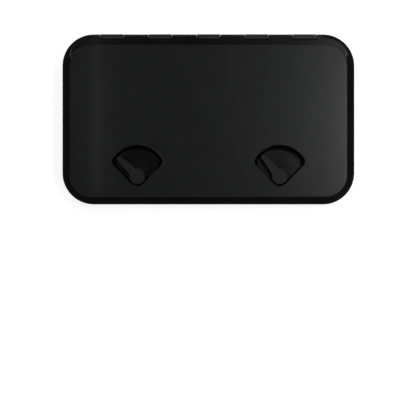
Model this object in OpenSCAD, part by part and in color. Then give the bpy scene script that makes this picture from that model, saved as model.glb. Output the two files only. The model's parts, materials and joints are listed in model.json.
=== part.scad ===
// Flush deck hatch: a moulded frame with a collar that drops through the deck, a ribbed lid on five
// hinge blocks, and two quarter-turn handles whose cams hook under catches on the collar.
// +X right, +Y to the hinges, +Z up. The origin is the centre of the collar on the deck plane.

/* [Lid] */
// Length of the lid from side to side
lid_length = 606; // [600:1:640]
// Depth of the lid from its front edge to its hinge edge
lid_depth = 353; // [353:1:356]
// Corner radius of the lid
lid_corner = 65; // [60:1:68]
// Height of the lid panel above the deck, at its middle
lid_height = 20.8; // [20.4:0.1:21.5]
// How much lower the panel's left and right edges are than its middle
panel_crown = 1.4; // [0.8:0.1:1.8]
// Wall thickness of the lid moulding
lid_wall = 3; // [2.4:0.1:3.2]
// Width of the sloping border at the front and sides
border_w = 16; // [14:0.5:17]
// Width of the flat band at the hinge edge
rear_band_w = 22.3; // [21:0.1:23]
// Thickness of the ribs under the panel
rib_t = 2; // [1.6:0.1:2.6]

/* [Frame] */
// Clear opening inside the collar, side to side
opening_length = 530; // [520:1:532]
// Clear opening inside the collar, front to back
opening_depth = 286; // [285:1:287]
// Wall thickness of the collar
collar_wall = 2.8; // [2.4:0.1:3]
// Depth of the collar below the deck
collar_drop = 28; // [20:1:40]
// Thickness of the flange
flange_t = 3.2; // [2.8:0.1:3.4]
// Distance between the front and rear rows of screws
screw_rows = 314; // [313:1:315]
// Distance between the left and right columns of screws
screw_columns = 560; // [560:1:562]
// Diameter of the screw holes
screw_hole_d = 4.4; // [4:0.1:5]

/* [Hinges] */
// Distance from one hinge block to the next
hinge_pitch = 100; // [95:1:105]
// Length of a hinge block
block_l = 48; // [44:1:52]
// Diameter of the hinge pins
pin_d = 4; // [3.5:0.1:4.2]

/* [Latches] */
// Distance of each handle's shaft from the middle of the hatch
latch_x = 147.5; // [140:0.5:156]
// Radius of a handle's hub
hub_r = 16.5; // [15:0.5:17]
// Distance from a handle's shaft to its finger tip
finger_l = 52; // [48:1:53]
// Angle of the left handle from straight back
left_turn = 45; // [40:1:45]
// Angle of the right handle from straight back
right_turn = 39; // [35:1:45]
// Depth of the handle pockets
pocket_depth = 17; // [16:0.5:17.5]

/* [Hidden] */
$fn = 64;
// Overrun of a cut or a joined shape, and a length past the end of anything
e = 1;
far = 100;

moulding = "#2b2c2e";
rubber = "#17181a";
steel = "#b9bcc0";
nylon = "#d8d6cc";
handle_grey = "#5d5f61";

// Lid outline
lid_x = lid_length / 2;
hinge_edge = 175;
front_edge = hinge_edge - lid_depth;
skirt_bottom = 2;
rear_skirt_bottom = 6.5;
rear_relief_y = 150;
shoulder_z = 9.5;
band_z = 14.5;
band_under = 12.1;
panel_x = lid_x - border_w;
panel_front = front_edge + border_w;
panel_rear = hinge_edge - rear_band_w;
panel_corner = 46;
crown_steps = 20;
edge_fade = 0.6;
band_ramp_l = 28;
panel_under = lid_height - lid_wall - 1;

// Hinge line
axis_y = 170;
axis_z = 9.5;
block_r = 5;
block_bevel = 1;
block_fit = 0.03;
lug_r = 4.8;
lug_w = 7;
lug_fit = 0.06;
lug_top = band_z - 1;
pin_chamfer = 0.5;
notch_gap = 0.7;
notch_y = axis_y - block_r - 2.4;
notch_wall = 2.5;
rail_x = lid_x - lid_corner;
stations = [-2 : 2];
core_w = 5.6;
core_h = 5.8;
core_end = 7.5;
core_web = 3;

// Frame
open_x = opening_length / 2;
open_y = opening_depth / 2;
open_corner = 31.2;
channel_w = 4.4;
channel_wall = 1.8;
channel_floor = 7;
channel_top = 11.5;
channel_out = collar_wall + channel_w + channel_wall;
channel_mid = collar_wall + channel_w / 2;
gasket_w = channel_w - 0.4;
gasket_h = 5.2;
gasket_top = channel_floor + gasket_h;
flange_x = 293.5;
flange_front = -168.5;
flange_rear = 171.5;
flange_corner = 58;
lip_w = 2.5;
lip_top = 6;
lip_rear = 140;
lip_drain_w = 14;
lip_drain_pitch = 200;
underside_recess = 1.2;
underside_rim = 3;
underside_rear_rim = 6.5;
groove_top = 4.8;
rear_slot = [19, 2.2, 2];
rear_slot_web = 4;
boss_r = 4.6;
sink_r = 4.2;
long_row_x = 180;
short_row_x = 60;
side_row_y = 45;
screws = [
    for (x = [-long_row_x, -short_row_x, short_row_x, long_row_x], y = [-1, 1]) [x, y * screw_rows / 2],
    for (x = [-1, 1], y = [-side_row_y, side_row_y]) [x * screw_columns / 2, y]
];

// Lid ribs
rib_mid_y = -3.5;
edge_rib_x = 259;
edge_rib_y = 134;
edge_rib_t = 2.5;
edge_rib_corner = 26;
edge_rib_bottom = -9;
rib_bottom = -4;
edge_dip_w = 39;
edge_dip_top = -4;
edge_cut_w = 8;
latch_dip_top = 1;
drain_w = 16;
bay_d = 14;
rib_inset = 7;
bead_t = 2;
bead_gap = 0.3;

// Latches
locked_turn = 45;
latch_y = -120;
latch_gap_w = 42;
pocket_floor = lid_height - 0.3 - pocket_depth;
floor_t = 2.5;
pocket_r = 19.7;
pocket_arc_y = 5;
pocket_arc_r = 47.5;
pocket_corner_r = 12.5;
pocket_arc_half = 57;
// Section of the pocket's wall: height above the floor, inset at the shaft, set-back of the arc
pocket_levels = [[0, 2, 8.5], [2, 1.3, 5.2], [5.5, 0.8, 2.6], [pocket_depth + 0.3, 0, 0]];
// Lip round the pocket: depth of its root, height and width
pocket_lip_root = 3;
pocket_lip_h = 0.3;
pocket_lip_w = 2.2;
pocket_arc_steps = 20;
pocket_corner_steps = 7;
pocket_end_steps = 12;
boss_bottom = -4;
latch_boss_r = 9.5;
shaft_r = 6;
shaft_fit = 0.06;
shaft_square = 8.6;
handle_top = lid_height - 2;
handle_t = 6.3;
handle_under = handle_top - handle_t;
handle_edge = 0.8;
grip_fillet = 5;
hub_gap = 0.4;
tip_r = 6.3;
neck_r = 9.3;
neck_l = 14;
o_ring_r = 0.95;
o_ring_z = -0.6;
o_ring_groove = 1.92;
o_ring_groove_w = 2.2;
washer_gap = 0.35;
thrust_t = 0.8;
cam_top = boss_bottom - washer_gap - thrust_t;
cam_bottom = -12;
cam_hub_bottom = -14;
cam_seat = -9.8;
cam_body_r = 16;
cam_hub_r = 9;
cam_recess_r = 6;
cam_wall = 1.6;
cam_pocket_d = 3.6;
cam_ring_r = 11.1;
cam_ring_t = 1.3;
cam_pocket_y = 16;
nose_r = 22.5;
nose_w = 20;
nose_root = 6;
nose_flank = 19;
nose_top = -5.9;
tab_l = 32.6;
tab_w = 19.5;
tab_corner = 2;
window = [9.3, 5.3];
window_y = 21.4;
catch_w = latch_gap_w - 4;
catch_top = -1;
catch_bottom = -5.3;
catch_reach = 6.2;
catch_lead = 1.2;
gusset_t = 2;
gusset_top = 7;
seat_washer_t = 0.8;
screw_r = 2;
screw_hole_r = 2.05;
screw_hole_l = 9;
screw_l = 8.4;
head_r = 3.9;
head_h = 2.3;
head_taper = 0.9;
recess = [4, 0.9, 1.3];

// ---------- shared shapes ----------

// Rounded rectangle from -hx to hx and from y0 to y1, standing from z0 to z1
module plate(hx, y0, y1, r, z0, z1) {
    translate([0, 0, z0])
        linear_extrude(z1 - z0) {
            translate([-hx + r, y0])
                square([2 * (hx - r), y1 - y0]);
            translate([-hx, y0 + r])
                square([2 * hx, y1 - y0 - 2 * r]);
            for (x = [-hx + r, hx - r], y = [y0 + r, y1 - r])
                translate([x, y])
                    circle(r, $fn = 96);
        }
}

// Plate that follows the opening of the frame at a distance d outside it
module around_opening(d, z0, z1) {
    plate(open_x + d, -open_y - d, open_y + d, open_corner + d, z0, z1);
}

// One straight run of a section, whose x is the distance inward from the edge
module run(l) {
    rotate([90, 0, 0])
        translate([0, 0, -l / 2])
            linear_extrude(l)
                mirror([1, 0])
                    children();
}

// One corner of a section
module turn(r) {
    rotate_extrude(angle = 90, $fn = 96)
        translate([r, 0])
            mirror([1, 0])
                children();
}

// A section carried round a rounded rectangle, with or without its rear side
module sweep(hx, y0, y1, r, rear = true) {
    ym = (y0 + y1) / 2;
    for (s = [0, 180])
        translate([s == 0 ? hx : -hx, ym, 0])
            rotate([0, 0, s])
                run(y1 - y0 - 2 * r)
                    children();
    translate([0, y0, 0])
        rotate([0, 0, -90])
            run(2 * (hx - r))
                children();
    if (rear)
        translate([0, y1, 0])
            rotate([0, 0, 90])
                run(2 * (hx - r))
                    children();
    for (k = [0 : 3])
        translate([(k == 0 || k == 3 ? 1 : -1) * (hx - r), k < 2 ? y1 - r : y0 + r, 0])
            rotate([0, 0, 90 * k])
                turn(r)
                    children();
}

// Upright rib from point p to point q
module rib(p, q, t, z0, z1) {
    d = q - p;
    translate([p.x, p.y, z0])
        rotate([0, 0, atan2(d.y, d.x)])
            translate([0, -t / 2, 0])
                cube([norm(d), t, z1 - z0]);
}

// Cylinder along X through the hinge line at station k
module on_axis(k, r, l) {
    translate([k * hinge_pitch, axis_y, axis_z])
        rotate([0, 90, 0])
            cylinder(h = l, r = r, center = true);
}

// Outline drawn in the plane across the hinge line, x to the rear and y up, made l long
module across(l) {
    rotate([90, 0, 90])
        linear_extrude(l, center = true)
            children();
}

module at_latch(side, turned = 0) {
    translate([side * latch_x, latch_y, 0])
        rotate([0, 0, turned])
            children();
}

// ---------- frame ----------

module flange() {
    plate(flange_x, flange_front, flange_rear, flange_corner, 0, flange_t);
    difference() {
        plate(flange_x, flange_front, flange_rear, flange_corner, flange_t - e, lip_top);
        plate(flange_x - lip_w, flange_front + lip_w, flange_rear - lip_w, flange_corner - lip_w,
            -e, lip_top + e);
        translate([-lid_x, lip_rear, -e])
            cube([lid_length, far, lip_top + 2 * e]);
        for (x = [-lip_drain_pitch, 0, lip_drain_pitch])
            translate([x - lip_drain_w / 2, flange_front - e, flange_t])
                cube([lip_drain_w, lip_w + 2 * e, lip_top]);
    }
}

module seal_channel() {
    around_opening(channel_out, 0, channel_top);
}

module collar() {
    around_opening(collar_wall, -collar_drop, channel_top);
}

module hinge_block(k) {
    top = axis_z + block_r;
    translate([k * hinge_pitch, axis_y, 0])
        across(block_l)
            polygon([
                [-block_r, 0], [-block_r, top - block_bevel], [block_bevel - block_r, top],
                [block_r - block_bevel, top], [block_r, top - block_bevel], [block_r, 0]
            ]);
}

module hinge_block_cores(k) {
    core_l = (block_l - core_web) / 2 - core_end;
    for (s = [-1, 1])
        translate([k * hinge_pitch + s * (core_l + core_web) / 2 - core_l / 2, axis_y - core_w / 2, -e])
            cube([core_l, core_w, core_h + e]);
}

// Shelf on the collar's front wall that a cam hooks under, with a lead-in and two gussets
module catch_lug(side) {
    tip = catch_reach + e;
    translate([side * latch_x, -open_y - e, 0]) {
        across(catch_w)
            polygon([
                [0, catch_bottom], [tip - catch_lead, catch_bottom], [tip, catch_bottom + catch_lead],
                [tip, catch_top], [0, catch_top]
            ]);
        for (s = [-1, 1])
            translate([s * (catch_w - gusset_t) / 2, 0, 0])
                across(gusset_t)
                    polygon([
                        [0, catch_top - e], [catch_reach, catch_top - e], [e, gusset_top], [0, gusset_top]
                    ]);
    }
}

module screw_hole(p) {
    translate([p.x, p.y, -e])
        cylinder(h = flange_t + 2 * e, d = screw_hole_d);
    translate([p.x, p.y, flange_t - (sink_r - screw_hole_d / 2)])
        cylinder(h = sink_r - screw_hole_d / 2 + 0.01, r1 = screw_hole_d / 2, r2 = sink_r + 0.01);
}

module underside_recess() {
    difference() {
        plate(flange_x - underside_rim, flange_front + underside_rim, flange_rear - underside_rear_rim,
            flange_corner - underside_rim, -e, underside_recess);
        around_opening(channel_out + 2, -2 * e, underside_recess + e);
        for (p = screws)
            translate([p.x, p.y, -2 * e])
                cylinder(h = underside_recess + 3 * e, r = boss_r);
    }
    difference() {
        around_opening(collar_wall + channel_w, -e, groove_top);
        around_opening(collar_wall, -2 * e, channel_floor);
    }
    for (k = [-1.5 : 1.5], s = [-1, 1])
        translate([
            k * hinge_pitch + (s * (rear_slot.x + rear_slot_web) - rear_slot.x) / 2,
            axis_y - rear_slot.y / 2,
            -e
        ])
            cube(rear_slot + [0, 0, e]);
}

module frame() {
    color(moulding)
        difference() {
            union() {
                flange();
                seal_channel();
                collar();
                for (k = stations)
                    hinge_block(k);
            }
            difference() {
                around_opening(0, -collar_drop - e, channel_top + e);
                for (s = [-1, 1])
                    catch_lug(s);
            }
            difference() {
                around_opening(collar_wall + channel_w, channel_floor, channel_top + e);
                around_opening(collar_wall, channel_floor - e, channel_top + 2 * e);
            }
            underside_recess();
            for (p = screws)
                screw_hole(p);
            for (k = stations) {
                on_axis(k, pin_d / 2 + block_fit, block_l + 2 * e);
                hinge_block_cores(k);
            }
        }
}

module gasket() {
    out = channel_mid + gasket_w / 2;
    color(rubber)
        sweep(open_x + out, -open_y - out, open_y + out, open_corner + out)
            translate([gasket_w / 2, channel_floor + gasket_h / 2])
                intersection() {
                    square([gasket_w, gasket_h], center = true);
                    circle(gasket_h / 2 + 0.15, $fn = 48);
                }
}

// ---------- hinge pins ----------

module hinge_pin(k) {
    l = block_l + 2 * (lug_w + notch_gap);
    color(steel)
        translate([k * hinge_pitch, axis_y, axis_z])
            rotate([0, 90, 0]) {
                cylinder(h = l - 2 * pin_chamfer, d = pin_d, center = true);
                for (s = [0, 180])
                    rotate([s, 0, 0])
                        translate([0, 0, l / 2 - pin_chamfer])
                            cylinder(h = pin_chamfer, d1 = pin_d, d2 = pin_d - 2 * pin_chamfer);
            }
}

// ---------- lid ----------

// Skirt and sloping border
module border_section() {
    top = panel_under + lid_wall - edge_fade;
    w = border_w + 1.5;
    polygon([
        [0, skirt_bottom], [0, shoulder_z - 1], [0.25, shoulder_z - 0.1], [0.9, shoulder_z + 0.8],
        [w - 4, top - 1.3], [w - 2, top - 0.4], [w, top], [w, top - lid_wall],
        [w - 3.5, top - lid_wall - edge_fade], [lid_wall, shoulder_z - edge_fade],
        [lid_wall, skirt_bottom + edge_fade], [lid_wall - edge_fade, skirt_bottom]
    ]);
}

// Thickening under the border at the two hinge corners, where the flat band runs out
module corner_fill_section() {
    top = panel_under + lid_wall - edge_fade;
    w = border_w + 1.5;
    polygon([
        [lid_wall - 0.5, shoulder_z - 2], [lid_wall - 0.5, shoulder_z], [w - 4, top - 2],
        [w - 1, top - 0.5], [w + 5, top - 0.5], [w + 5, band_under], [lid_wall + 3, band_under]
    ]);
}

// What is cut away above the flat band, with a ramp up to the border at either side
module band_clearance() {
    ramp_foot = rear_relief_y - 4;
    ramp_head = ramp_foot - band_ramp_l;
    difference() {
        across(lid_length + 2 * e)
            polygon([
                [ramp_foot, band_z], [hinge_edge + e, band_z], [hinge_edge + e, far], [ramp_head, far],
                [ramp_head, lid_height + 0.2]
            ]);
        plate(panel_x, panel_front, panel_rear, panel_corner, 0, far + e);
    }
}

module border() {
    difference() {
        union() {
            sweep(lid_x, front_edge, hinge_edge, lid_corner, rear = false)
                border_section();
            for (k = [0, 1])
                translate([(k == 0 ? 1 : -1) * (lid_x - lid_corner), hinge_edge - lid_corner, 0])
                    rotate([0, 0, 90 * k])
                        turn(lid_corner)
                            corner_fill_section();
        }
        band_clearance();
        translate([-lid_x - e, rear_relief_y, 0])
            cube([lid_length + 2 * e, far, rear_skirt_bottom]);
    }
}

// Height of the crowned panel at a distance x from the middle
function crown_z(x) = lid_height - panel_crown * pow(x / panel_x, 2);

// Crowned panel, with the step down to the flat band at its rear
module panel() {
    x_end = panel_x + e;
    intersection() {
        plate(panel_x, panel_front, panel_rear, panel_corner, band_under, lid_height + e);
        rotate([90, 0, 0])
            linear_extrude(2 * lid_depth, center = true)
                polygon([
                    [x_end, 0],
                    for (i = [-crown_steps : crown_steps])
                        [-i * x_end / crown_steps, crown_z(i * x_end / crown_steps)],
                    [-x_end, 0]
                ]);
    }
}

module panel_hollow() {
    plate(panel_x - lid_wall, panel_front + lid_wall, panel_rear - lid_wall, panel_corner - lid_wall,
        0, panel_under);
}

// Flat band and rolled edge that carry the hinge lugs
module hinge_rail() {
    r = hinge_edge - axis_y;
    band_start = panel_rear - lid_wall;
    channel_edge = open_y + channel_out + 0.4;
    difference() {
        across(2 * rail_x)
            difference() {
                translate([band_start, rear_skirt_bottom])
                    square([hinge_edge - band_start, band_z - rear_skirt_bottom]);
                difference() {
                    translate([axis_y, axis_z])
                        square(r + e);
                    translate([axis_y, axis_z])
                        circle(r);
                }
            }
        across(2 * rail_x - 2 * lid_wall)
            translate([band_start - e, 0])
                square([hinge_edge - lid_wall - band_start + e, band_under]);
        across(2 * rail_x + 2 * e)
            translate([band_start - e, 0])
                square([channel_edge - band_start + e, band_under]);
    }
}

module hinge_notch(k) {
    translate([k * hinge_pitch - block_l / 2 - notch_gap, notch_y, 0])
        cube([block_l + 2 * notch_gap, far, far]);
}

module hinge_lugs(k) {
    for (s = [-1, 1])
        translate([k * hinge_pitch + s * (block_l / 2 + notch_gap + lug_w / 2), 0, 0])
            across(lug_w) {
                translate([axis_y, axis_z])
                    circle(lug_r);
                translate([axis_y - lug_r, axis_z])
                    square([lug_r, lug_top - axis_z]);
            }
    translate([k * hinge_pitch - block_l / 2 - lug_w, notch_y - notch_wall, rear_skirt_bottom])
        cube([block_l + 2 * lug_w, notch_wall, lug_top - rear_skirt_bottom]);
}

module edge_rib() {
    y0 = rib_mid_y - edge_rib_y;
    y1 = rib_mid_y + edge_rib_y;
    difference() {
        plate(edge_rib_x, y0, y1, edge_rib_corner, edge_rib_bottom, panel_under + e);
        plate(edge_rib_x - edge_rib_t, y0 + edge_rib_t, y1 - edge_rib_t, edge_rib_corner - edge_rib_t,
            edge_rib_bottom - e, panel_under + 2 * e);
        for (s = [-1, 1])
            translate([s * latch_x - latch_gap_w / 2, y0 - e, edge_rib_bottom - e])
                cube([latch_gap_w, edge_cut_w, latch_dip_top - edge_rib_bottom + e]);
        for (x = [-long_row_x, -short_row_x, short_row_x, long_row_x])
            translate([x - edge_dip_w / 2, y1 - edge_cut_w, edge_rib_bottom - e])
                cube([edge_dip_w, edge_cut_w + e, edge_dip_top - edge_rib_bottom + e]);
        translate([-drain_w / 2, y0 - e, edge_rib_bottom - e])
            cube([drain_w, edge_cut_w, far]);
    }
}

// Cross, full diagonals and diamond, with a rounded bay at the front middle
module inner_ribs() {
    x = edge_rib_x - edge_rib_t / 2;
    y = edge_rib_y - edge_rib_t / 2;
    bay_y = -y + bay_d;
    bay_r = drain_w / 2 + rib_t;
    translate([0, rib_mid_y, 0]) {
        difference() {
            union() {
                rib([-x, 0], [x, 0], rib_t, rib_bottom, panel_under + e);
                rib([0, -y], [0, y], rib_t, rib_bottom, panel_under + e);
                for (s = [-1, 1]) {
                    rib([-x + rib_inset, s * (-y + rib_inset)], [x - rib_inset, s * (y - rib_inset)], rib_t,
                        rib_bottom, panel_under + e);
                    for (t = [-1, 1])
                        rib([s * x, 0], [0, t * y], rib_t, rib_bottom, panel_under + e);
                }
            }
            bay(bay_y, bay_r, y);
        }
        difference() {
            bay(bay_y, bay_r, y);
            bay(bay_y, bay_r - rib_t, y + e);
        }
    }
}

module bay(bay_y, r, reach) {
    translate([0, bay_y, rib_bottom])
        cylinder(h = panel_under - rib_bottom, r = r);
    translate([-r, -reach, rib_bottom])
        cube([2 * r, reach + bay_y, panel_under - rib_bottom]);
}

module seal_bead() {
    difference() {
        around_opening(channel_mid + bead_t / 2, gasket_top + bead_gap, panel_under + e);
        around_opening(channel_mid - bead_t / 2, gasket_top, panel_under + 2 * e);
    }
}

// Points on an arc about c from angle a0 to a1 in n steps, without the last one
function arc_points(c, r, a0, a1, n) =
    [for (i = [0 : n - 1]) c + r * [cos(a0 + (a1 - a0) * i / n), sin(a0 + (a1 - a0) * i / n)]];

// Fan outline about the shaft: a wide arc at the top, two side corners and a round end at the shaft.
// It is grown sideways by g, and its arc is set back by back.
function fan_points(g, back) =
    let(
        reach = pocket_arc_r - back,
        corner = [-reach * sin(pocket_arc_half), pocket_arc_y + reach * cos(pocket_arc_half)],
        side = atan2(corner.y, corner.x) + acos((pocket_r - pocket_corner_r) / norm(corner)),
        top = 90 - pocket_arc_half
    )
    concat(
        arc_points([0, pocket_arc_y], reach + pocket_corner_r + g, top, 180 - top, pocket_arc_steps),
        arc_points(corner, pocket_corner_r + g, 180 - top, side, pocket_corner_steps),
        arc_points([0, 0], pocket_r + g, side, 540 - side, pocket_end_steps),
        arc_points([-corner.x, corner.y], pocket_corner_r + g, 540 - side, 360 + top, pocket_corner_steps)
    );

// Thin slice of the fan at height z
module fan_slice(z, g, back) {
    translate([0, 0, z])
        linear_extrude(0.4)
            polygon(fan_points(g, back));
}

// Bowl of the pocket, dropped by drop and grown sideways by g
module pocket_bowl(g, drop) {
    hull()
        for (level = pocket_levels)
            fan_slice(pocket_floor - drop + level[0], g - level[1], level[2]);
}

// Raised lip round the pocket, sloping on its outside
module pocket_lip() {
    translate([0, 0, lid_height - pocket_lip_root])
        linear_extrude(pocket_lip_root + pocket_lip_h)
            polygon(fan_points(pocket_lip_w, 0));
}

module lid() {
    color(moulding)
        difference() {
            union() {
                border();
                difference() {
                    panel();
                    panel_hollow();
                }
                hinge_rail_with_lugs();
                edge_rib();
                inner_ribs();
                seal_bead();
                for (s = [-1, 1])
                    at_latch(s) {
                        pocket_bowl(floor_t, floor_t);
                        pocket_lip();
                        translate([0, 0, boss_bottom])
                            cylinder(h = pocket_floor - boss_bottom, r = latch_boss_r);
                    }
            }
            for (s = [-1, 1])
                at_latch(s) {
                    pocket_bowl(0, 0);
                    translate([0, 0, lid_height])
                        linear_extrude(e)
                            polygon(fan_points(0, 0));
                    translate([0, 0, boss_bottom - e])
                        cylinder(h = pocket_floor - boss_bottom + 2 * e, r = shaft_r + shaft_fit);
                }
        }
}

module hinge_rail_with_lugs() {
    difference() {
        union() {
            difference() {
                hinge_rail();
                for (k = stations)
                    hinge_notch(k);
            }
            for (k = stations)
                hinge_lugs(k);
        }
        for (k = stations)
            on_axis(k, pin_d / 2 + lug_fit, block_l + 4 * lug_w);
    }
}

// ---------- latches ----------

// Club-shaped grip seen from above, pointing along +Y
module grip_outline() {
    offset(r = -grip_fillet, $fn = 48)
        offset(delta = grip_fillet, $fn = 48) {
            circle(hub_r, $fn = 64);
            hull() {
                translate([0, neck_l])
                    circle(neck_r, $fn = 32);
                translate([0, finger_l])
                    circle(tip_r, $fn = 32);
            }
        }
}

module handle(side, turned) {
    color(handle_grey)
        at_latch(side, turned)
            difference() {
                union() {
                    translate([0, 0, handle_under])
                        linear_extrude(handle_t - handle_edge)
                            grip_outline();
                    translate([0, 0, handle_top - handle_edge])
                        linear_extrude(handle_edge)
                            offset(delta = -0.7)
                                grip_outline();
                    translate([0, 0, pocket_floor + hub_gap])
                        cylinder(h = handle_under - pocket_floor, r = hub_r - 1);
                    translate([0, 0, cam_top])
                        cylinder(h = pocket_floor - cam_top + 1, r = shaft_r);
                    rotate([0, 0, -locked_turn])
                        translate([-shaft_square / 2, -shaft_square / 2, cam_seat])
                            cube([shaft_square, shaft_square, cam_top - cam_seat + e]);
                }
                translate([0, 0, o_ring_z])
                    rotate_extrude()
                        translate([shaft_r - o_ring_groove, -o_ring_groove_w / 2])
                            square([o_ring_groove + e, o_ring_groove_w]);
                translate([0, 0, cam_seat - e])
                    cylinder(h = screw_hole_l + e, r = screw_hole_r);
            }
}

module o_ring(side) {
    color(rubber)
        at_latch(side)
            translate([0, 0, o_ring_z])
                rotate_extrude()
                    translate([shaft_r - o_ring_r, 0])
                        circle(o_ring_r - 0.02, $fn = 32);
}

module thrust_washer(side) {
    color(nylon)
        at_latch(side)
            translate([0, 0, cam_top])
                difference() {
                    cylinder(h = thrust_t, r = latch_boss_r - 0.3);
                    translate([0, 0, -e])
                        cylinder(h = thrust_t + 2 * e, r = shaft_r + 0.15);
                }
}

// Cam seen from above, nose along -Y and tab along +Y
module cam_outline() {
    circle(cam_body_r, $fn = 64);
    translate([-tab_w / 2, 0])
        square([tab_w, tab_l - tab_corner]);
    translate([-tab_w / 2 + tab_corner, 0])
        square([tab_w - 2 * tab_corner, tab_l]);
    for (s = [-1, 1])
        translate([s * (tab_w / 2 - tab_corner), tab_l - tab_corner])
            circle(tab_corner, $fn = 24);
    intersection() {
        circle(nose_r, $fn = 96);
        polygon([
            [-cam_body_r + 1, -nose_root], [-nose_w / 2, -nose_flank], [-nose_w / 2, -nose_r - e],
            [nose_w / 2, -nose_r - e], [nose_w / 2, -nose_flank], [cam_body_r - 1, -nose_root]
        ]);
    }
}

module cam_pockets() {
    difference() {
        offset(delta = -cam_wall)
            cam_outline();
        circle(cam_hub_r + 0.3, $fn = 48);
        difference() {
            circle(cam_ring_r + cam_ring_t, $fn = 48);
            circle(cam_ring_r, $fn = 48);
        }
        for (a = [0, 60, 120])
            rotate([0, 0, a])
                square([cam_ring_t, 3 * nose_r], center = true);
        translate([-tab_w, cam_pocket_y])
            square([2 * tab_w, tab_l]);
    }
}

module cam(side, turned) {
    color(moulding)
        at_latch(side, turned - locked_turn)
            difference() {
                union() {
                    translate([0, 0, cam_bottom])
                        linear_extrude(cam_top - cam_bottom)
                            cam_outline();
                    translate([0, 0, cam_hub_bottom])
                        cylinder(h = cam_top - cam_hub_bottom, r = cam_hub_r);
                }
                translate([0, 0, nose_top])
                    difference() {
                        translate([-nose_r, -nose_r - e, 0])
                            cube([2 * nose_r, nose_r + e - nose_root, far]);
                        cylinder(h = far, r = cam_body_r + 0.4, center = true);
                    }
                translate([0, 0, cam_bottom - e])
                    linear_extrude(cam_pocket_d + e)
                        cam_pockets();
                translate([-window.x / 2, window_y, cam_bottom - e])
                    cube([window.x, window.y, far]);
                translate([0, 0, cam_hub_bottom - e])
                    cylinder(h = cam_seat - cam_hub_bottom + e, r = cam_recess_r);
                translate([-shaft_square / 2 - 0.1, -shaft_square / 2 - 0.1, cam_seat - e])
                    cube([shaft_square + 0.2, shaft_square + 0.2, far]);
            }
}

module cam_washer(side) {
    color(steel)
        at_latch(side)
            translate([0, 0, cam_seat - seat_washer_t])
                difference() {
                    cylinder(h = seat_washer_t, r = cam_recess_r - 0.4);
                    translate([0, 0, -e])
                        cylinder(h = seat_washer_t + 2 * e, r = screw_r + 0.25);
                }
}

// Pan head screw with a cross recess
module cam_screw(side, turned) {
    color(steel)
        at_latch(side, turned - locked_turn)
            translate([0, 0, cam_seat - seat_washer_t])
                difference() {
                    union() {
                        cylinder(h = screw_l, r = screw_r);
                        translate([0, 0, head_taper - head_h])
                            cylinder(h = head_h - head_taper, r = head_r);
                        translate([0, 0, -head_h])
                            cylinder(h = head_taper, r1 = head_r - 1, r2 = head_r);
                    }
                    for (a = [0, 90])
                        rotate([0, 0, a])
                            translate([-recess.x / 2, -recess.y / 2, -head_h - e])
                                cube(recess + [0, 0, e]);
                }
}

frame();
gasket();
hinge_pin(-2);  // hinge_pin_1
hinge_pin(-1);  // hinge_pin_2
hinge_pin(0);  // hinge_pin_3
hinge_pin(1);  // hinge_pin_4
hinge_pin(2);  // hinge_pin_5
lid();
handle(-1, left_turn);  // left_handle
o_ring(-1);  // left_o_ring
thrust_washer(-1);  // left_thrust_washer
cam(-1, left_turn);  // left_cam
cam_washer(-1);  // left_cam_washer
cam_screw(-1, left_turn);  // left_cam_screw
handle(1, right_turn);  // right_handle
o_ring(1);  // right_o_ring
thrust_washer(1);  // right_thrust_washer
cam(1, right_turn);  // right_cam
cam_washer(1);  // right_cam_washer
cam_screw(1, right_turn);  // right_cam_screw
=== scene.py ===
"""Looks of the flush deck hatch: edge-rounded mouldings, procedural materials, studio, floor and camera."""

import json
import math

import bmesh
import bpy
from mathutils import Matrix, Vector


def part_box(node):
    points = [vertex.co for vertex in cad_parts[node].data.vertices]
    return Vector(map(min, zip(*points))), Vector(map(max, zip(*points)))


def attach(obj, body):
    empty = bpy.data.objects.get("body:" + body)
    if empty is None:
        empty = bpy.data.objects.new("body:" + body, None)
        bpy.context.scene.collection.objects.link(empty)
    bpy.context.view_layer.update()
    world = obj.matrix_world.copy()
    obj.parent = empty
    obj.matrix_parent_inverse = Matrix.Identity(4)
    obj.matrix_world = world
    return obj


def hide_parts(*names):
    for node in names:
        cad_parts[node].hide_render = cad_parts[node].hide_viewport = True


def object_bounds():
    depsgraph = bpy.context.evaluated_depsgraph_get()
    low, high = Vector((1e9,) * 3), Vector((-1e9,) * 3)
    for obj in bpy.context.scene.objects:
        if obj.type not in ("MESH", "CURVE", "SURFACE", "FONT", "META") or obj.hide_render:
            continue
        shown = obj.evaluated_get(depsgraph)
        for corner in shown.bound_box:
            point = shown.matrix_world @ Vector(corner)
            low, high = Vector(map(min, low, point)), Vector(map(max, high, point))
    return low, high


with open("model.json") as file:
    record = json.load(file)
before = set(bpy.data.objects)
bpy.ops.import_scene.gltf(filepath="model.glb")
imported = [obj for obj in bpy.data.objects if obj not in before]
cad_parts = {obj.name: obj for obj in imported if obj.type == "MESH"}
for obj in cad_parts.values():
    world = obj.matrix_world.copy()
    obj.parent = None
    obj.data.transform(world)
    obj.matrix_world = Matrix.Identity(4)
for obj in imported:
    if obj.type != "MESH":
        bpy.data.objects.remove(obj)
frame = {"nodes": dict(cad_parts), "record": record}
NODES = frame["nodes"]
RECORD = frame["record"]
cad_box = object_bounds()
MM = 0.001
SLOT_OF = {part["node"]: part["material_slot"] for part in RECORD["subparts"]}
BODY_OF = {node: body for body, nodes in RECORD["behaviour"]["bodies"].items() for node in nodes}


# ---------- shader helpers ----------


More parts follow.
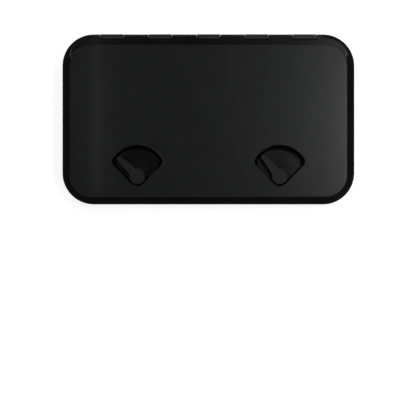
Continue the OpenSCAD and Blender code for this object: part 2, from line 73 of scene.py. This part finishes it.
class Shader:
    """A material's node tree, with short calls for the nodes used below."""

    def __init__(self, name):
        self.material = bpy.data.materials.new(name)
        self.material.use_nodes = True
        self.tree = self.material.node_tree
        self.surface = self.tree.nodes["Principled BSDF"]

    def plug(self, socket, value):
        """Links a socket, or sets it when the value is a plain number or colour."""
        if isinstance(value, bpy.types.NodeSocket):
            self.tree.links.new(value, socket)
        else:
            socket.default_value = value

    def finish(self, **inputs):
        """Sets the surface's sockets by name, with _ for a space."""
        for key, value in inputs.items():
            self.plug(self.surface.inputs[key.replace("_", " ")], value)
        return self.material

    def add(self, kind, inputs=None, output=0, **settings):
        node = self.tree.nodes.new(kind)
        for key, value in settings.items():
            setattr(node, key, value)
        for key, value in (inputs or {}).items():
            self.plug(node.inputs[key], value)
        return node.outputs[output]

    def math(self, operation, a, b=0.0):
        return self.add("ShaderNodeMath", {0: a, 1: b}, operation=operation)

    def product(self, *factors):
        result = factors[0]
        for factor in factors[1:]:
            result = self.math("MULTIPLY", result, factor)
        return result

    def place(self):
        return self.add("ShaderNodeTexCoord", output="Object")

    def noise(self, size, detail=3.0, rough=0.55, where=None):
        """Noise between 0 and 1 whose features are about size metres across."""
        inputs = {"Vector": where or self.place(), "Scale": 1 / size, "Detail": detail, "Roughness": rough}
        return self.add("ShaderNodeTexNoise", inputs, output="Fac")

    def cells(self, size):
        """Distance field of rounded cells about size metres across."""
        inputs = {"Vector": self.place(), "Scale": 1 / size, "Smoothness": 0.4}
        return self.add("ShaderNodeTexVoronoi", inputs, output="Distance", feature="SMOOTH_F1")

    def ramp(self, value, low, high, to_low=0.0, to_high=1.0):
        inputs = {"Value": value, "From Min": low, "From Max": high, "To Min": to_low, "To Max": to_high}
        return self.add("ShaderNodeMapRange", inputs, output="Result")

    def mix(self, factor, a, b):
        return self.add("ShaderNodeMix", {"Factor": factor, 6: a, 7: b}, output=2, data_type="RGBA")

    def blend(self, factor, a, b):
        return self.add("ShaderNodeMix", {"Factor": factor, 2: a, 3: b}, output=0, data_type="FLOAT")

    def bump(self, height, depth, strength=1.0, normal=None):
        inputs = {"Height": height, "Distance": depth, "Strength": strength}
        if normal is not None:
            inputs["Normal"] = normal
        return self.add("ShaderNodeBump", inputs, output="Normal")

    def wear(self, patch):
        """About 1 on worn stretches of convex edges, in patches about patch metres long, and 0 elsewhere."""
        point = self.add("ShaderNodeNewGeometry", output="Pointiness")
        return self.product(self.ramp(point, 0.53, 0.60), self.ramp(self.noise(patch, 4), 0.45, 0.7))

    def scratches(self, length, turn):
        """Thin straight scuffs along one direction, 1 on a scuff."""
        inputs = {"Vector": self.place(), "Rotation": (0, 0, turn), "Scale": (0.04, 1.0, 1.0)}
        lines = self.noise(length, 2, 0.5, where=self.add("ShaderNodeMapping", inputs))
        patches = self.ramp(self.noise(50 * MM, 2), 0.5, 0.7)
        return self.product(self.ramp(lines, 0.66, 0.72), patches)


def grey(level):
    """A very slightly cool grey, as carbon-black plastic is."""
    return (level * 0.98, level, level * 1.03, 1.0)


# ---------- materials ----------


def panel_and_painted_shade_mask(s):
    """1 on top of the lid's textured panel, and 0 on the smooth border round it and on all that lies lower, the
    pockets too, which the lid colours near black as painted shade.
    """
    low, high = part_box("lid")
    border, rear_band, corner = 16 * MM, 22.3 * MM, 46 * MM
    fade = 1.5 * MM
    panel_low, panel_high = 17.5 * MM, 18.5 * MM
    x, y, z = (s.add("ShaderNodeSeparateXYZ", {0: s.place()}, output=axis) for axis in "XYZ")
    mid_x = (low.x + high.x) / 2
    front, rear = low.y + border, high.y - rear_band
    half_x = (high.x - low.x) / 2 - border - corner
    half_y = (rear - front) / 2 - corner
    dx = s.math("MAXIMUM", s.math("SUBTRACT", s.math("ABSOLUTE", s.math("SUBTRACT", x, mid_x)), half_x), 0.0)
    dy = s.math("SUBTRACT", s.math("ABSOLUTE", s.math("SUBTRACT", y, (front + rear) / 2)), half_y)
    dy = s.math("MAXIMUM", dy, 0.0)
    out = s.math("SQRT", s.math("ADD", s.product(dx, dx), s.product(dy, dy)))
    inside = s.ramp(out, corner, corner - fade)
    # Everything below the panel's top, pocket walls and floors and the rear band too, gets 0 here, so the lid
    # paints it in the near-black painted-shade colour.
    return s.product(inside, s.ramp(z, panel_low, panel_high))


def moulding(name, smooth_and_shade_level, grained_level, mask=None):
    """Black moulded plastic, smooth, or grained where the mask is 1. On the lid the smooth colour is near black,
    which is painted shade on the sloping border and in the pockets, while the smooth finish itself is real.
    """
    s = Shader(name)
    grained = mask(s) if mask else s.ramp(s.noise(400 * MM), -1.0, 2.0, 0.0, 0.3)
    flow = s.ramp(s.noise(70 * MM, 3), 0.3, 0.7)
    speck = s.ramp(s.noise(1.4 * MM, 3, 0.7), 0.6, 0.8)
    # Where the lid's mask is 0, this near-black smooth colour is painted shade on the border and in the pockets.
    level = s.mix(grained, grey(smooth_and_shade_level), grey(grained_level))
    base = s.mix(s.product(flow, 0.25), level, grey(grained_level * 0.6))
    base = s.mix(s.product(speck, 0.18), base, grey(grained_level * 2.2))
    scuffs = s.math("MAXIMUM", s.scratches(0.5 * MM, 0.5), s.scratches(0.6 * MM, -0.9))
    base = s.mix(s.product(scuffs, 0.25), base, grey(grained_level * 2.5))
    worn = s.wear(12 * MM)
    base = s.mix(s.product(worn, 0.5), base, grey(grained_level * 3))
    patch = s.ramp(s.noise(35 * MM, 5, 0.65), 0.3, 0.7, -0.03, 0.04)
    rough = s.math("ADD", s.blend(grained, 0.30, 0.34), patch)
    rough = s.math("SUBTRACT", rough, s.product(worn, 0.08))
    pebble = s.blend(0.35, s.cells(1.7 * MM), s.noise(0.6 * MM, 2))
    depth = s.product(pebble, s.ramp(grained, 0.0, 1.0, 0.18, 1.0))
    normal = s.bump(depth, 0.10 * MM, normal=s.bump(s.noise(30 * MM, 2), 0.25 * MM, 0.6))
    return s.finish(
        Base_Color=base, Roughness=rough, Normal=normal, Specular_IOR_Level=0.32, Coat_Weight=0.15,
        Coat_Roughness=0.13,
    )


def grip(name):
    """Matt grey handle moulding."""
    s = Shader(name)
    fine = s.noise(0.35 * MM, 3, 0.7)
    base = s.mix(s.ramp(s.noise(18 * MM, 3), 0.3, 0.7), grey(0.017), grey(0.022))
    base = s.mix(s.product(s.wear(6 * MM), 0.6), base, grey(0.05))
    base = s.mix(s.product(s.scratches(0.3 * MM, 0.8), 0.3), base, grey(0.035))
    rough = s.ramp(s.noise(9 * MM, 5), 0.3, 0.7, 0.50, 0.62)
    normal = s.bump(fine, 0.05 * MM)
    return s.finish(Base_Color=base, Roughness=rough, Normal=normal, Specular_IOR_Level=0.25)


def rubber(name):
    s = Shader(name)
    skin = s.noise(0.8 * MM, 5, 0.7)
    base = s.mix(s.ramp(s.noise(14 * MM, 4), 0.3, 0.7), grey(0.010), grey(0.022))
    base = s.mix(s.product(s.ramp(s.noise(5 * MM, 4), 0.6, 0.8), 0.2), base, grey(0.06))
    rough = s.ramp(skin, 0.3, 0.7, 0.62, 0.82)
    return s.finish(Base_Color=base, Roughness=rough, Normal=s.bump(skin, 0.1 * MM))


def steel(name):
    """Turned and lightly brushed stainless steel."""
    s = Shader(name)
    lines = s.noise(0.25 * MM, 3, 0.6, where=s.add("ShaderNodeMapping", {0: s.place(), "Scale": (0.12, 1, 1)}))
    stain = s.ramp(s.noise(4 * MM, 4), 0.55, 0.75)
    base = s.mix(lines, (0.50, 0.50, 0.51, 1), (0.66, 0.66, 0.66, 1))
    base = s.mix(s.product(stain, 0.25), base, (0.34, 0.31, 0.28, 1))
    rough = s.math("ADD", s.ramp(lines, 0.3, 0.7, 0.22, 0.36), s.product(stain, 0.1))
    return s.finish(Base_Color=base, Metallic=1.0, Roughness=rough, Normal=s.bump(lines, 0.02 * MM))


def nylon(name):
    s = Shader(name)
    mottle = s.noise(3 * MM, 4)
    base = s.mix(mottle, (0.60, 0.58, 0.52, 1), (0.74, 0.72, 0.66, 1))
    rough = s.ramp(mottle, 0.3, 0.7, 0.38, 0.5)
    normal = s.bump(s.noise(0.6 * MM), 0.03 * MM)
    return s.finish(Base_Color=base, Roughness=rough, Normal=normal, Subsurface_Weight=0.15)


FINISH = {
    "moulded_plastic": moulding("black_moulding", 0.030, 0.038),
    "handle_plastic": grip("grey_grip"),
    "seal_rubber": rubber("seal_rubber"),
    "stainless_steel": steel("stainless_steel"),
    "washer_nylon": nylon("washer_nylon"),
}
# The lid's smooth level of 0.001 is painted shade on its border and in its pockets; the grained panel is 0.017.
LID_FINISH_WITH_PAINTED_SHADE = moulding("black_lid_moulding_painted_shade", 0.001, 0.017, panel_and_painted_shade_mask)


# ---------- pieces ----------


def round_edges(bm, width, segments):
    """Rounds every sharp edge of a closed mesh by width."""
    weld, flat, sharp_from = 0.002 * MM, math.radians(0.03), math.radians(28)
    bmesh.ops.remove_doubles(bm, verts=bm.verts, dist=weld)
    bmesh.ops.dissolve_limit(
        bm, angle_limit=flat, use_dissolve_boundaries=False, verts=bm.verts, edges=bm.edges
    )
    sharp = [edge for edge in bm.edges if edge.calc_face_angle(0) > sharp_from]
    bmesh.ops.bevel(
        bm, geom=sharp, offset=width, offset_type="OFFSET", segments=segments, profile=0.5, affect="EDGES",
        clamp_overlap=False,
    )


def keep_inside(bm, node):
    """Brings any vertex that stands outside the node's box back to it."""
    low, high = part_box(node)
    for vertex in bm.verts:
        vertex.co = [min(max(vertex.co[i], low[i]), high[i]) for i in range(3)]


def softened(node, name, width, material, segments=2):
    """A detailed piece in a CAD node's place, with moulded edges instead of sharp ones."""
    bm = bmesh.new()
    bm.from_mesh(NODES[node].data)
    round_edges(bm, width, segments)
    keep_inside(bm, node)
    mesh = bpy.data.meshes.new(name)
    bm.to_mesh(mesh)
    bm.free()
    mesh.shade_smooth()
    piece = bpy.data.objects.new(name, mesh)
    bpy.context.scene.collection.objects.link(piece)
    smooth = piece.modifiers.new("weighted", "WEIGHTED_NORMAL")
    smooth.keep_sharp = True
    dress(piece, material)
    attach(piece, BODY_OF[node])
    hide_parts(node)
    return piece


def dress(obj, material):
    obj.data.materials.clear()
    obj.data.materials.append(material)


for node, slot in SLOT_OF.items():
    dress(NODES[node], FINISH[slot])

softened("lid", "lid_moulding", 0.5 * MM, LID_FINISH_WITH_PAINTED_SHADE)
softened("frame", "frame_moulding", 0.4 * MM, FINISH["moulded_plastic"])
for side in ("left", "right"):
    softened(f"{side}_handle", f"{side}_handle_moulding", 0.6 * MM, FINISH["handle_plastic"], 3)
    softened(f"{side}_cam", f"{side}_cam_moulding", 0.3 * MM, FINISH["moulded_plastic"])


# ---------- floor, light and camera ----------


def floor():
    """A pale plane at the object's lowest point."""
    width = 30
    bpy.ops.mesh.primitive_plane_add(size=width, location=(0, 0, cad_box[0].z))
    plane = bpy.context.object
    plane.name = "studio_floor"
    s = Shader("studio_floor")
    s.finish(
        Base_Color=(0.92, 0.92, 0.92, 1), Roughness=0.9, Specular_IOR_Level=0.1,
        Emission_Color=(1, 1, 1, 1), Emission_Strength=0.8,
    )
    dress(plane, s.material)


def softbox(name, centre, size, watts, target=(0, 0, 0)):
    """An area lamp that shines at the target, size[0] wide across and size[1] long along Y."""
    data = bpy.data.lights.new(name, "AREA")
    data.shape = "RECTANGLE"
    data.size, data.size_y = size
    data.energy = watts
    lamp = bpy.data.objects.new(name, data)
    bpy.context.scene.collection.objects.link(lamp)
    lamp.location = centre
    lamp.visible_camera = False
    lamp.rotation_mode = "QUATERNION"
    back = (Vector(centre) - Vector(target)).normalized()
    across = Vector((0, 1, 0)).cross(back).normalized()
    lamp.rotation_quaternion = Matrix((across, back.cross(across), back)).transposed().to_quaternion()


def studio():
    """Four softboxes light the hatch from its corners, and a long one from the hinge side. One above the right
    end shines in the panel there, and a narrow one above the left end. The floor glows, as a light table does."""
    floor()
    reach, height, width = 1.8, 2.6, 1.2
    mean_watts, more_right, more_rear = 9, 4, 3
    for x in (-1, 1):
        for y in (-1, 1):
            watts = mean_watts + more_right * x + more_rear * y
            softbox(f"corner_softbox_{x}_{y}", (x * reach, y * reach, height), (width, width), watts)
    softbox("hinge_side_strip", (0.2, 1.55, 1.9), (1.6, 0.35), 5)
    softbox("overhead_right", (0.50, 0.04, 1.0), (0.22, 0.5), 1.9, (0.35, 0.04, 0))
    softbox("overhead_strip", (-0.262, 0.03, 0.45), (0.02, 0.36), 0.03, (-0.25, 0.03, 0))
    world = bpy.data.worlds.new("studio_world")
    bpy.context.scene.world = world
    world.use_nodes = True
    background = world.node_tree.nodes["Background"]
    background.inputs["Color"].default_value = (1, 1, 1, 1)
    background.inputs["Strength"].default_value = 0.05


def camera():
    """Straight down from far above. The lid takes the share of the picture, and the place in it, that it has in
    the upper half of the photograph."""
    lid_share = 0.6934
    lid_right = -0.0038
    lid_up = 0.2152
    distance = 4.0
    lid_low, lid_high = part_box("lid")
    picture = (lid_high.x - lid_low.x) / lid_share
    centre = (lid_low + lid_high) / 2
    data = bpy.data.cameras.new("camera")
    data.sensor_width = 36
    data.lens = data.sensor_width * distance / picture
    data.clip_end = 50
    cam = bpy.data.objects.new("camera", data)
    bpy.context.scene.collection.objects.link(cam)
    cam.location = (centre.x - lid_right * picture, centre.y - lid_up * picture, distance)
    cam.rotation_euler = (0, 0, 0)
    bpy.context.scene.camera = cam


studio()
camera()
bpy.context.scene.view_settings.view_transform = "Standard"
